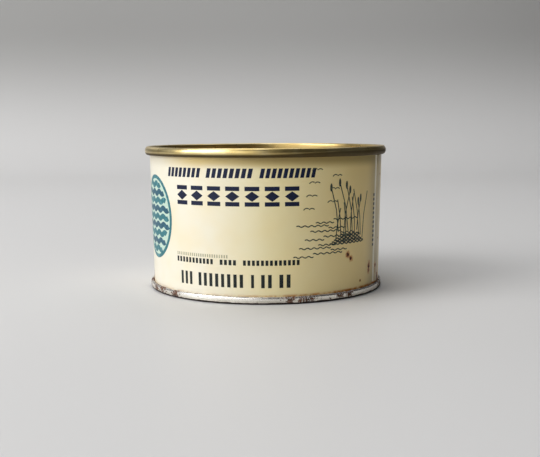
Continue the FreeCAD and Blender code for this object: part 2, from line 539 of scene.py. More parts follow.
@dataclass(frozen=True)
class GoldLacquer:
    """Clear gold food lacquer, roller-coated over bright tinplate."""

    gold: str = "#E3D09A"
    deep: str = "#C9AA5E"
    # A darker gold: painted shade inside the can
    inner: str = "#CDB070"
    # Colour of painted shade on the rim's lower, outer side
    shade_colour: str = "#2A1C08"
    shade_span: tuple[float, float] = (-1.2 * MM, -0.9 * MM)      # out from the rim's side
    shade_top: tuple[float, float] = (0.6 * MM, 1.4 * MM)         # up from the rim's foot
    climb_side: tuple[float, float] = (-5 * MM, 32 * MM)          # along X
    climb: float = 1.0 * MM                                       # how much higher it then is
    inner_side: tuple[float, float] = (-2.0 * MM, -1.7 * MM)      # out from the rim's side
    fade: float = 1.5 * MM                                        # either way from the rim's foot

    def build(self, sizes: "CanSizes") -> Material:
        """Make the material.

        Args:
            sizes: the can's sizes, for the place of the rim.

        Returns:
            The material.
        """
        # A mirror of thin gold, a little cloudy, that deepens where light bounces twice
        made = Finish("gold_lacquer", Specular_IOR_Level=0.2)
        height, from_axis = made.xyz["Z"], made.from_axis()
        side, foot = sizes.rim_radius, sizes.rim_foot
        cloudy = made.mottle(9.0, 2.0, (0.35, 0.65), (0.0, 0.6))
        # Painted shade: inside the rim the gold is darker
        low, high = self.inner_side
        within = made.node("MapRange", (from_axis, side + low, side + high, 0.85, 0.0), **SOFT)
        # Painted shade, drawn as brown grime, along the lower, outer side of the rim, higher on the shaded
        # right
        low, high = self.shade_span
        outer = made.node("MapRange", (from_axis, side + low, side + high), **SOFT)
        climb = made.node("MapRange", (made.xyz["X"], *self.climb_side, 0.0, self.climb), **SOFT)
        climbed = made.node("Math", (height, climb), **MINUS)
        low, high = self.shade_top
        lower = made.node("MapRange", (climbed, foot + low, foot + high, 0.9, 0.0), **SOFT)
        painted_shade = made.node("Math", (outer, lower), **TIMES)
        made.feed("Base Color", made.layers(self.gold, (self.deep, cloudy), (self.shade_colour, painted_shade),
                                            (self.inner, within)))
        made.feed("Metallic", made.node("MapRange", (painted_shade, 0.0, 1.0, 1.0, 0.8), **SOFT))
        # The rim is rubbed duller than the inside, and the painted shade on it is matt
        rubbed = made.node("MapRange", (height, foot, foot + self.fade, 0.0, 0.1), **SOFT)
        matt = made.node("MapRange", (painted_shade, 0.0, 1.0, 0.0, 0.35), **SOFT)
        matt = made.node("Math", (rubbed, matt), **PLUS)
        sheen = made.mottle(2.0, 4.0, (0.3, 0.7), (0.17, 0.24))
        made.feed("Roughness", made.node("Math", (sheen, matt), **PLUS))
        # Below the rim the lacquer has crept into a fine hammered grain
        below = made.node("MapRange", (height, foot - self.fade, foot, 1.0, 0.0), **SOFT)
        hammered = made.node("TexNoise", made.grain(1.0, 3.0))
        made.relief(made.node("Math", (hammered, below), **TIMES), 0.14)
        return made.material


@dataclass(frozen=True)
class DullTinplate:
    """Bare tinplate, dulled by age, with rust where the tin has worn through, a painted highlight on the
    seam's upper part and painted shade round its foot.
    """

    # Colour of the painted highlight on the upper part of the seam's outside
    bright: str = "#FAF7F0"
    tin: str = "#EFEBE1"
    grey: str = "#D9D4C8"
    rust: str = "#6B4630"
    rust_dark: str = "#22140C"
    outside: tuple[float, float] = (-0.6 * MM, -0.3 * MM)         # out from the end's hook
    highlight_foot: tuple[float, float] = (1.2 * MM, 1.6 * MM)       # up from the table
    # Painted shade at the foot, drawn as dark rust, reaches up to these heights
    foot_shade_top: tuple[float, float] = (0.75 * MM, 0.95 * MM)        # up from the table
    foot_shade_wander: float = 0.2 * MM
    crease: tuple[float, float] = (-0.22 * MM, -0.02 * MM)        # up from the seam's top
    patches: tuple[RustSpot, ...] = (
        RustSpot(-66.0, 1.4, 2.2), RustSpot(-58.0, 1.9, 2.6), RustSpot(-47.0, 1.0, 2.4),
        RustSpot(10.5, 1.8, 1.9), RustSpot(19.0, 1.6, 2.9), RustSpot(35.6, 1.5, 1.7),
        RustSpot(42.0, 1.8, 1.6), RustSpot(74.0, 1.5, 3.4), RustSpot(-83.0, 1.6, 3.2),
        RustSpot(128.0, 1.5, 3.0), RustSpot(190.0, 1.2, 2.4), RustSpot(236.0, 1.8, 3.4),
    )

    def build(self, sizes: "CanSizes") -> Material:
        """Make the material.

        Args:
            sizes: the can's sizes, for the places of the patches.

        Returns:
            The material.
        """
        # Satin grey metal with a slow mottle; rust is matt and not metallic
        made = Finish("dull_tinplate")
        height, from_axis = made.xyz["Z"], made.from_axis()
        low, high = self.outside
        outside = made.node("MapRange", (from_axis, sizes.cover_face + low, sizes.cover_face + high), **SOFT)
        # Painted highlight: the upper part of the seam's outside is brighter
        highlight_band = made.node("MapRange", (height, *self.highlight_foot), **SOFT)
        highlight_band = made.node("Math", (highlight_band, outside), **TIMES)
        tin = made.layers(self.tin, (self.grey, made.mottle(2.5, 4.0, (0.35, 0.65))), (self.bright, highlight_band))
        # Rust in freckles and in patches with frayed edges, both broken up by a finer noise
        ragged = made.node("TexNoise", made.grain(0.9, 5.0))
        away = made.nearest(self.patches, lambda at: sizes.seam_radius, ragged, 1.0)
        patches = made.node("MapRange", (away, 0.6, 1.1, 1.0, 0.0), **SOFT)
        rusted = made.node("Math", (made.mottle(1.6, 5.0, (0.62, 0.70)), patches), **MOST)
        rusted = made.node("Math", (rusted, made.mottle(0.5, 4.0, (0.30, 0.46))), **TIMES)
        # Painted shade, drawn as dark rust, round the edge that the can stands on, less on its inner side;
        # rust in the crease over the seam
        wander = made.mottle(4.0, 2.0, (0.35, 0.65), (0.0, self.foot_shade_wander))
        wander = made.node("Math", (height, wander), **PLUS)
        foot_shade = made.node("MapRange", (wander, *self.foot_shade_top, 1.0, 0.0), **SOFT)
        inner_side = sizes.cover_face + self.outside[0]
        outer = made.node("MapRange", (from_axis, inner_side, sizes.hook_face, 0.3), **SOFT)
        foot_shade = made.node("Math", (foot_shade, outer), **TIMES)
        low, high = self.crease
        crease = made.node("MapRange", (height, sizes.seam_height + low, sizes.seam_height + high), **SOFT)
        crease = made.node("Math", (crease, made.mottle(2.2, 4.0, (0.35, 0.6), (0.1, 0.9))), **TIMES)
        crease = made.node("Math", (crease, outside), **TIMES)
        rusted = made.node("Math", (rusted, made.node("Math", (foot_shade, crease), **MOST)), **MOST)
        # The painted shade at the foot and the finer specks take the darker rust colour
        speckled = made.node("MapRange", (ragged, 0.4, 0.6), **SOFT)
        dark_rust_and_shade = made.node("Math", (foot_shade, speckled), **MOST)
        rust = made.layers(self.rust, (self.rust_dark, dark_rust_and_shade))
        made.feed("Base Color", made.layers(tin, (rust, rusted)))
        made.feed("Metallic", made.node("MapRange", (rusted, 0.2, 0.8, 1.0, 0.0), **SOFT))
        made.feed("Roughness", made.node("MapRange", (rusted, 0.0, 1.0, 0.26, 0.85), **SOFT))
        pitted = made.node("TexNoise", made.grain(1.0, 4.0))
        made.relief(made.node("Math", (pitted, rusted), **PLUS), 0.03)
        return made.material


@dataclass(frozen=True)
class PrintingInk:
    """Flat lithographic ink, stoved hard and matt."""

    name: str
    colour: str
    thin: str

    def build(self) -> Material:
        """Make the material of this ink.

        Returns:
            The material.
        """
        # Flat colour that thins a little where the roller carried less ink
        made = Finish(self.name, Specular_IOR_Level=0.3)
        thinned = made.mottle(1.4, 4.0, (0.5, 0.72))
        made.feed("Base Color", made.layers(self.colour, (self.thin, thinned)))
        made.feed("Roughness", made.mottle(0.8, 2.0, (0.3, 0.7), (0.32, 0.45)))
        return made.material


@dataclass(frozen=True)
class GreyPaper:
    """Pale grey studio paper, calendered to a slight sheen."""

    near: str = "#DBDAD9"
    # Painted shade: the paper turns to this grey towards its top
    far: str = "#9B9A98"
    shaded: tuple[float, float] = (0.0, 0.22)     # heights in metres, from near to far

    def build(self) -> Material:
        """Make the material of the paper.

        Returns:
            The material.
        """
        # Even, with a slight sheen at a low angle; greyer towards its top, painted shade where the lamps'
        # light falls off
        made = Finish("grey_paper", Roughness=0.5)
        rise = made.node("MapRange", (made.xyz["Z"], *self.shaded), **SOFT)
        made.feed("Base Color", made.layers(self.near, (self.far, rise)))
        made.relief(made.node("TexNoise", made.grain(0.6, 3.0)), 0.01)
        return made.material


# ---- Can ------------------------------------------------------------------------------------


@dataclass(frozen=True)
class CanSizes:
    """Sizes of the can's bent sheets, in metres; its outline comes from the CAD boxes."""

    height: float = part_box("can_body")[1].z
    rim_radius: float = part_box("can_body")[1].y
    seam_radius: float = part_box("can_end")[1].x
    sink_top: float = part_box("can_end")[1].z
    body_plate: float = 0.25 * MM
    end_plate: float = 0.28 * MM
    wall_taper: float = 1.2           # degrees
    bead_height: float = 3.1 * MM
    bead_radius: float = 0.87 * MM
    bead_swell: float = 40.0          # degrees
    bead_gap: float = 0.17 * MM
    bead_tuck: float = 0.6 * MM
    seam_height: float = 2.6 * MM
    seam_gap: float = 0.17 * MM
    stand_run: float = 0.2 * MM
    hook_gap: float = 0.35 * MM
    sink_radius: float = 0.95 * MM
    panel_drop: float = 1.9 * MM
    panel_bend: float = 0.6 * MM
    ring_margin: float = 6.5 * MM
    ring_pitch: float = 8.0 * MM
    ring_rise: float = 0.5 * MM
    ring_slope: float = 30.0          # degrees
    ring_bend: float = 0.5 * MM
    lap_width: float = 6.0 * MM
    lap_turn: float = -23.0           # degrees from +X towards +Y
    lap_inset: float = 0.25 * MM

    @property
    def seam_face(self) -> float:
        """Radius inside the outer layer of the base seam."""
        return self.seam_radius - self.end_plate

    @property
    def hook_face(self) -> float:
        """Radius outside the body's hook."""
        return self.seam_face - self.seam_gap

    @property
    def cover_face(self) -> float:
        """Radius outside the end's hook."""
        return self.hook_face - self.body_plate - self.seam_gap

    @property
    def base_radius(self) -> float:
        """Radius outside the wall at its foot."""
        return self.cover_face - self.end_plate - self.seam_gap

    @property
    def chuck_face(self) -> float:
        """Radius outside the end's countersink."""
        return self.base_radius - self.body_plate - self.seam_gap

    @property
    def end_corner(self) -> float:
        """Radius of the end's corners at the standing edge."""
        return (self.seam_face - self.chuck_face - self.stand_run) / 2

    @property
    def foot_corner(self) -> float:
        """Radius of the body's corners inside the seam."""
        return self.end_corner - self.seam_gap

    @property
    def cover_fold(self) -> float:
        """Radius of the end's fold at the top of the seam."""
        return (self.seam_face - self.cover_face) / 2

    @property
    def foot(self) -> float:
        """Height of the body's lowest face."""
        return self.end_plate + self.seam_gap

    @property
    def rim_foot(self) -> float:
        """Height of the rolled rim's lower edge."""
        return self.height - self.bead_height

    @property
    def lower_roll(self) -> float:
        """Radius of the roll under the rim."""
        swell = math.cos(math.radians(self.bead_swell))
        return self.bead_radius - (self.body_plate + self.bead_gap) / (1 + swell)

    @property
    def side_roll(self) -> float:
        """Radius of the rim's rounded side, between its two rolls.

        Returns:
            The radius in metres.
        """
        lean = math.sin(math.radians(self.bead_swell))
        rolls_height = (self.bead_radius + self.lower_roll) * (1 - lean)
        return (self.bead_height - rolls_height) / (2 * lean)

    def wall_radius(self, height: float) -> float:
        """Radius outside the wall at a height."""
        return self.base_radius + (height - self.foot) * math.tan(math.radians(self.wall_taper))


class BentSheet:
    """Sheet bent to a traced section and revolved about the can's axis."""

    NAME = ""         # name of the piece
    STEPS = 288       # segments of a whole turn
    SLIT = 0.06       # degrees left between the two sides of a sheet's cut edge
    WELD = 1e-6       # metres, under which two vertices are one

    def __init__(self, sizes: CanSizes, finishes: tuple[Material, Material]) -> None:
        """Start an empty sheet.

        Args:
            sizes: the can's sizes.
            finishes: finish of the traced side, then of the other side.
        """
        self.sizes = sizes
        self.piece = new_mesh(self.NAME)
        for finish in finishes:
            self.piece.data.materials.append(finish)

    def revolve(self, inside: bool, edge: float = 0.0) -> None:
        """Spin the traced section round the axis and close the ring.

        Args:
            inside: whether the traced side faces the middle where the sheet is widest.
            edge: degrees from the start to a second cut edge; 0 leaves none.
        """
        with editing(self.piece):
            bpy.ops.mesh.select_all(action="SELECT")
            spans = [self.SLIT, 360.0 - self.SLIT]
            if edge:
                spans = [self.SLIT, edge - self.SLIT, self.SLIT, 360.0 - edge - self.SLIT]
            for span in spans:
                steps = max(1, round(self.STEPS * span / 360.0))
                bpy.ops.mesh.spin(steps=steps, angle=math.radians(span), center=(0, 0, 0), axis=(0, 0, -1))
            bpy.ops.mesh.select_all(action="SELECT")
            bpy.ops.mesh.remove_doubles(threshold=self.WELD)
            bpy.ops.mesh.normals_make_consistent(inside=inside)

    def give_plate(self, thickness: float) -> None:
        """Thicken the sheet away from its traced side."""
        apply_modifier(self.piece, "SOLIDIFY", thickness=thickness, offset=-1.0, use_even_offset=True,
                       material_offset=1, material_offset_rim=1)

    def shift(self, wanted: Callable[[Vector], bool], move: Vector) -> None:
        """Move the vertices in a wanted place.

        Args:
            wanted: test of a vertex's place.
            move: distance in metres.
        """
        pick(self.piece, wanted)
        with editing(self.piece):
            bpy.ops.transform.translate(value=move)


class CanBody(BentSheet):
    """Tapered body: hook in the base seam, lapped wall and outward-rolled rim."""

    NAME = "can_body_enamelled"
    END_MARGIN = 0.1 * MM     # keeps the rings at the wall's two ends out of the lapped ply

    def trace(self) -> None:
        """Trace the section's product side, from the hook's tip to the rim's tucked edge."""
        s = self.sizes
        with editing(self.piece):
            hook_tip = s.seam_height - s.end_plate - s.hook_gap
            line = Tracer((s.hook_face, hook_tip), heading=-90)
            line.run_to_height(s.foot + s.foot_corner)
            line.bend(Side.RIGHT, s.foot_corner, 90, steps=6)
            line.run(s.stand_run)
            line.bend(Side.RIGHT, s.foot_corner, 90 + s.wall_taper, steps=6)
            line.run_to_height(s.seam_height)
            line.run_to_height(s.seam_height + s.lap_inset)
            line.run_to_height(s.rim_foot - s.lap_inset, steps=16)
            line.run_to_height(s.rim_foot)
            rise = math.sin(math.radians(s.wall_taper))
            line.run_to_height(s.height - s.bead_radius * (1 - rise))
            line.bend(Side.RIGHT, s.bead_radius, 180 - s.wall_taper - s.bead_swell, steps=14)
            line.bend(Side.RIGHT, s.side_roll, 2 * s.bead_swell, steps=10)
            line.bend(Side.RIGHT, s.lower_roll, 180 - s.bead_swell, steps=12)
            line.run(s.bead_tuck)

    def lap(self) -> None:
        """Lay the outer ply of the side seam one plate out, over the inner ply."""
        s = self.sizes
        overlap = s.lap_width / s.base_radius

        def in_ply(place: Vector, start: float, outer: bool) -> bool:
            """Tell whether a vertex is on one face of the wall, past a cut edge.

            Args:
                place: the vertex's place.
                start: radians from the start of the ring to the cut edge.
                outer: whether the outer face is meant.

            Returns:
                Whether it is there.
            """
            turn = math.atan2(place.y, place.x)
            middle = s.wall_radius(place.z) - s.body_plate / 2
            on_outer = math.hypot(place.x, place.y) > middle
            in_height = s.seam_height + self.END_MARGIN < place.z < s.rim_foot - self.END_MARGIN
            past_edge = start + math.radians(self.SLIT) / 2 < turn < math.pi / 2
            return in_height and past_edge and on_outer is outer

        out = Vector((s.body_plate, 0, 0))
        self.shift(lambda place: in_ply(place, 0.0, True), out)
        self.shift(lambda place: in_ply(place, overlap, False), out)

    def build(self) -> Object:
        """Make the body.

        Returns:
            The finished piece.
        """
        self.trace()
        self.revolve(inside=False, edge=math.degrees(self.sizes.lap_width / self.sizes.base_radius))
        self.give_plate(self.sizes.body_plate)
        self.lap()
        turn_about_axis(self.piece, math.radians(self.sizes.lap_turn))
        smooth(self.piece, SHARP_EDGE)
        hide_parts("can_body")
        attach(self.piece, BODY)
        return self.piece


class CanEnd(BentSheet):
    """Bottom end: hook and outer layer of the base seam, countersink and ringed panel."""

    NAME = "can_end_tinplate"
    RINGS = 2

    def trace(self) -> None:
        """Trace the section's product side, from the hook's tip to the centre of the panel."""
        s = self.sizes
        with editing(self.piece):
            cover_tip = s.foot + s.body_plate + s.hook_gap
            line = Tracer((s.cover_face, cover_tip), heading=90)
            line.run_to_height(s.seam_height - s.end_plate - s.cover_fold)
            line.bend(Side.RIGHT, s.cover_fold, 180, steps=12)
            line.run_to_height(s.end_plate + s.end_corner, steps=3)
            line.bend(Side.RIGHT, s.end_corner, 90, steps=8)
            line.run(s.stand_run)
            line.bend(Side.RIGHT, s.end_corner, 90, steps=8)
            line.run_to_height(s.sink_top - s.sink_radius)
            line.bend(Side.LEFT, s.sink_radius, 180, steps=16)
            line.run(s.panel_drop - s.sink_radius - s.panel_bend)
            line.bend(Side.RIGHT, s.panel_bend, 90, steps=8)
            slope = math.radians(s.ring_slope)
            bends_rise = (2 * s.ring_bend + s.end_plate) * (1 - math.cos(slope))
            for ring in range(self.RINGS):
                inset = 2 * s.sink_radius + s.ring_margin + ring * s.ring_pitch
                line.run_to_radius(s.chuck_face - inset)
                line.bend(Side.RIGHT, s.ring_bend, s.ring_slope, steps=4)
                line.run((s.ring_rise - bends_rise) / math.sin(slope))
                line.bend(Side.LEFT, s.ring_bend + s.end_plate, s.ring_slope, steps=4)
            line.run_to_radius(0.0, steps=3)

    def build(self) -> Object:
        """Make the end.

        Returns:
            The finished piece.
        """
        self.trace()
        self.revolve(inside=True)
        self.give_plate(self.sizes.end_plate)
        smooth(self.piece, SHARP_EDGE)
        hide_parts("can_end")
        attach(self.piece, BODY)
        return self.piece


# ---- Prints ---------------------------------------------------------------------------------


class InkLayer:
    """One ink of a motif: drawn flat in the XZ plane, then rolled onto the wall."""

    STRIP = 1.5 * MM          # widest flat facet that still lies on the wall
    WALL = 42.8 * MM          # radius at which distances round the wall are measured
    ROLLER = 43.9 * MM        # radius that clears the wall everywhere
    FILM = 0.03 * MM          # closed film, drawn thicker than real ink so that it shows
    ROLLER_STEPS = 64         # segments of each quarter of the roller
    ARC_STEP = 15.0           # degrees of one segment of an arc
    WAVE_TURN = 80.0          # degrees that a wave turns from crest to trough

    def __init__(self, name: str, ink: Material, proud: float = 0.02 * MM) -> None:
        """Start an empty layer.

        Args:
            name: name of the piece.
            ink: its material.
            proud: height of the film's face over the enamel, in metres.
        """
        self.piece = new_mesh(name)
        self.piece.data.materials.append(ink)
        self.proud = proud

    def bar(self, left: float, low: float, width: float, height: float, lean: float = 0.0) -> None:
        """Draw an upright or leaning bar.

        Args:
            left: its left end along its foot, in millimetres.
            low: height of its foot.
            width: width along its foot.
            height: its height.
            lean: how far its top stands to the right of its foot.
        """
        with editing(self.piece):
            Tracer(((left + width / 2) * MM, low * MM), heading=90, width=width * MM)
            move = Vector((lean * MM, 0, height * MM))
            bpy.ops.mesh.extrude_edges_move(TRANSFORM_OT_translate={"value": move})

    def disc(self, middle: tuple[float, float], size: tuple[float, float], corners: int = 48,
             rim: float = 0.0) -> None:
        """Draw an oval, a lozenge or, with a rim, an oval ring.

        Args:
            middle: its centre, in millimetres.
            size: its width and height.
            corners: number of its corners, 4 for a lozenge.
            rim: width of a ring; 0 leaves the shape filled.
        """
        centre = Vector((middle[0] * MM, 0, middle[1] * MM))
        with editing(self.piece, Parts.FACES):
            bpy.ops.mesh.primitive_circle_add(vertices=corners, radius=0.5 * MM, fill_type="NGON",
                                              location=centre, rotation=(math.pi / 2, 0, 0))
            bpy.ops.transform.resize(value=(size[0], 1, size[1]), center_override=centre)
            if rim:
                bpy.ops.mesh.inset(thickness=rim * MM)
                bpy.ops.mesh.delete(type="FACE")

    def arcs(self, start: tuple[float, float], heading: float, width: float,
             bends: list[tuple[Side, float, float]]) -> tuple[float, float]:
        """Draw a ribbon of arcs.

        Args:
            start: its start, in millimetres.
            heading: its direction there, in degrees.
            width: its width in millimetres.
            bends: side, radius in millimetres and degrees of each arc.

        Returns:
            Its end, in millimetres.
        """
        with editing(self.piece):
            line = Tracer((start[0] * MM, start[1] * MM), heading, width * MM)
            for side, radius, turn in bends:
                line.bend(side, radius * MM, turn, steps=max(2, round(turn / self.ARC_STEP)))
        return line.point.x / MM, line.point.z / MM

    def wave(self, start: tuple[float, float], length: float, width: float, crest: float = 3.0) -> None:
        """Draw a level wavy ribbon.

        Args:
            start: its left end, in millimetres.
            length: about how long it is.
            width: its width.
            crest: distance from one crest to the next.
        """
        turn = self.WAVE_TURN
        radius = crest / 2 / (2 * math.sin(math.radians(turn / 2)))
        halves = max(2, round(2 * length / crest))
        sides = [Side.RIGHT if half % 2 == 0 else Side.LEFT for half in range(halves)]
        self.arcs(start, turn / 2, width, [(side, radius, turn) for side in sides])

    def roll(self) -> None:
        """Face the flat print outwards, cut it into strips and roll it round the can."""
        piece = self.piece
        for polygon in piece.data.polygons:
            polygon.select = polygon.normal.y > 0
        with editing(piece, Parts.FACES):
            bpy.ops.mesh.flip_normals()
            bpy.ops.mesh.select_all(action="SELECT")
            bpy.ops.transform.resize(value=(self.ROLLER / self.WALL, 1, 1), center_override=(0, 0, 0))
        across = [vertex.co.x for vertex in piece.data.vertices]
        first, last = math.ceil(min(across) / self.STRIP), math.floor(max(across) / self.STRIP)
        with editing(piece):
            for strip in range(first, last + 1):
                bpy.ops.mesh.select_all(action="SELECT")
                bpy.ops.mesh.bisect(plane_co=(strip * self.STRIP, 0, 0), plane_no=(1, 0, 0))
        deselect()
        bpy.ops.curve.primitive_bezier_circle_add(radius=self.ROLLER, rotation=(0, math.pi, 0))
        roller = bpy.context.object
        roller.data.resolution_u = self.ROLLER_STEPS
        bpy.ops.object.transform_apply(location=False, rotation=True, scale=False)
        apply_modifier(piece, "CURVE", object=roller, deform_axis="POS_X")
        bpy.data.objects.remove(roller)

    def seat(self, piece: Object, wall: Object) -> None:
        """Press a rolled layer onto the wall and give it its film's thickness.

        Args:
            piece: the rolled layer, or a copy of it.
            wall: the can's body.
        """
        apply_modifier(piece, "SHRINKWRAP", target=wall, wrap_method="NEAREST_SURFACEPOINT",
                       wrap_mode="ABOVE_SURFACE", offset=self.proud)
        apply_modifier(piece, "SOLIDIFY", thickness=self.FILM, offset=-1.0)
        with editing(piece, Parts.FACES):
            bpy.ops.mesh.select_all(action="SELECT")
            bpy.ops.mesh.normals_make_consistent(inside=False)
        smooth(piece, SHARP_EDGE)
        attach(piece, BODY)
        LOG.info("piece %s", piece.name)

    def print_on(self, wall: Object, both_panels: bool = True) -> None:
        """Roll the layer on and, for a front panel, repeat it on the back.

        Args:
            wall: the can's body.
            both_panels: whether the back panel gets it too.
        """
        self.roll()
        if both_panels:
            select_only(self.piece)
            bpy.ops.object.duplicate(linked=False)
            copy = bpy.context.object
            copy.name = f"{self.piece.name}_back"
            turn_about_axis(copy, math.pi)
            self.seat(copy, wall)
        self.seat(self.piece, wall)


@dataclass(frozen=True)
class Row:
    """Row of short marks in groups, in millimetres from the front of the can."""

    name: str
    groups: tuple[tuple[float, float], ...]     # left and right end of each group
    low: float
    high: float
    mark: float                                 # width of one mark
    pitch: float
    lean: float = 0.0

    def draw(self, layer: InkLayer) -> None:
        """Fill each group with evenly spaced marks.

        Args:
            layer: the ink that draws them.
        """
        for left, right in self.groups:
            count = max(1, round((right - left) / self.pitch))
            pitch = (right - left) / count
            for number in range(count):
                layer.bar(left + number * pitch, self.low, self.mark * pitch / self.pitch,
                          self.high - self.low, self.lean)


@dataclass(frozen=True)
class Banner:
    """Row of lozenges, each between two short bars, in millimetres from the front of the can."""

    count: int = 7
    left: float = -33.5
    pitch: float = 6.68
    width: float = 4.9
    low: float = 33.0
    high: float = 39.6
    cap: float = 1.45         # height of a bar
    gap: float = 0.3          # between a lozenge and its two bars, added up

    def draw(self, layer: InkLayer) -> None:
        """Draw each lozenge with its bars.

        Args:
            layer: the ink that draws them.
        """
        for number in range(self.count):
            start = self.left + number * self.pitch
            layer.bar(start, self.low, self.width, self.cap)
            layer.bar(start, self.high - self.cap, self.width, self.cap)
            middle = (start + self.width / 2, (self.low + self.high) / 2)
            layer.disc(middle, (self.width, self.high - self.low - 2 * self.cap - self.gap), corners=4)


@dataclass(frozen=True)
class Medallion:
    """Upright oval with a rim and wavy bands, in millimetres from the front of the can."""

    middle: tuple[float, float] = (-49.6, 27.5)
    width: float = 24.8
    height: float = 30.0
    rim: float = 1.3
    tuck: float = 1.0         # how much smaller the field is than the rim's outside
    bands: int = 9
    pitch: float = 2.9
    band: float = 1.9
    inset: float = 2.4        # from the end of a band to the outside of the rim
    crest: float = 5.0        # from one crest of a band to the next
    field_proud: float = 0.012 * MM     # metres over the enamel; the field lies under the rest
    bands_proud: float = 0.03 * MM

    def draw_field(self, layer: InkLayer) -> None:
        """Draw the field under the bands."""
        layer.disc(self.middle, (self.width - self.tuck, self.height - self.tuck))

    def draw_rim(self, layer: InkLayer) -> None:
        """Draw the rim round the field."""
        layer.disc(self.middle, (self.width, self.height), rim=self.rim)

    def draw_bands(self, layer: InkLayer, first: int) -> None:
        """Draw every second wavy band.

        Args:
            layer: the ink that draws them.
            first: number of the first band, counted from the foot.
        """
        for number in range(first, self.bands, 2):
            rise = (number - self.bands // 2) * self.pitch
            reach = self.width / 2 * math.sqrt(1 - (rise / (self.height / 2)) ** 2) - self.inset
            layer.wave((self.middle[0] - reach, self.middle[1] + rise), 2 * reach, self.band, self.crest)


def scatter(number: int, step: int, span: int) -> int:
    """Spread numbers unevenly over a span, the same way each time."""
    return (number * step) % span


@dataclass(frozen=True)
class Shore:
    """Sketch of reeds, ripples and birds, in millimetres from the front of the can."""

    ripples: int = 14
    ripple_start: tuple[float, float] = (9.5, 15.6)
    ripple_pitch: float = 0.95
    ripple_length: float = 7.0
    ripple_line: float = 0.38
    ripple_crest: float = 2.4
    tussock_lines: int = 6
    tussock_start: tuple[float, float] = (23.0, 19.4)
    tussock_step: tuple[float, float] = (0.9, 0.6)
    tussock_length: float = 17.0
    tussock_taper: float = 1.5
    tussock_line: float = 0.5
    tussock_crest: float = 2.0
    reeds: int = 13
    reed_start: tuple[float, float] = (25.5, 20.5)
    reed_pitch: float = 1.15
    reed_line: float = 0.4
    reed_bend: float = 50.0
    reed_head: tuple[float, float] = (1.0, 2.8)
    birds: int = 7
    bird_start: tuple[float, float] = (13.0, 31.5)
    bird_pitch: float = 2.2
    bird_line: float = 0.34
    wing_span: float = 2.0
    wing_bend: tuple[Side, float, float] = (Side.RIGHT, 1.3, 95)

    def draw_water(self, layer: InkLayer) -> None:
        """Draw ripples of uneven lengths, and the close lines that make the tussock.

        Args:
            layer: the ink that draws them.
        """
        left, low = self.ripple_start
        for number in range(self.ripples):
            start = (left + scatter(number, 7, 19), low + number * self.ripple_pitch)
            length = self.ripple_length + scatter(number, 5, 10)
            layer.wave(start, length, self.ripple_line, self.ripple_crest)
        left, low = self.tussock_start
        across, up = self.tussock_step
        for number in range(self.tussock_lines):
            start = (left + number * across, low + number * up)
            length = self.tussock_length - self.tussock_taper * number
            layer.wave(start, length, self.tussock_line, self.tussock_crest)

    def draw_reeds(self, layer: InkLayer) -> None:
        """Draw bent stalks, every second one with a head.

        Args:
            layer: the ink that draws them.
        """
        left, low = self.reed_start
        for number in range(self.reeds):
            start = (left + number * self.reed_pitch, low + scatter(number, 3, 4))
            side = Side.LEFT if number % 3 else Side.RIGHT
            bend = (side, self.reed_bend, 13 + scatter(number, 5, 9))
            tip = layer.arcs(start, 86 + scatter(number, 7, 9), self.reed_line, [bend])
            if number % 2:
                layer.disc(tip, self.reed_head, corners=16)

    def draw_birds(self, layer: InkLayer) -> None:
        """Draw birds as pairs of bent strokes.

        Args:
            layer: the ink that draws them.
        """
        left, low = self.bird_start
        for number in range(self.birds):
            start = (left + scatter(number, 9, 17), low + self.bird_pitch * number)
            layer.arcs(start, 60, self.bird_line, [self.wing_bend])
            layer.arcs((start[0] + self.wing_span, start[1] + 0.1), 50, self.bird_line, [self.wing_bend])


@dataclass(frozen=True)
class SeamColumn:
    """Column of short marks beside the side seam, in millimetres from the front of the can."""

    count: int = 12
    left: float = 47.9
    low: float = 16.4
    pitch: float = 1.64
    width: float = 1.4
    height: float = 0.95

    def draw(self, layer: InkLayer) -> None:
        """Draw the marks from the foot up, in one ink."""
        for number in range(self.count):
            layer.bar(self.left, self.low + number * self.pitch, self.width, self.height)


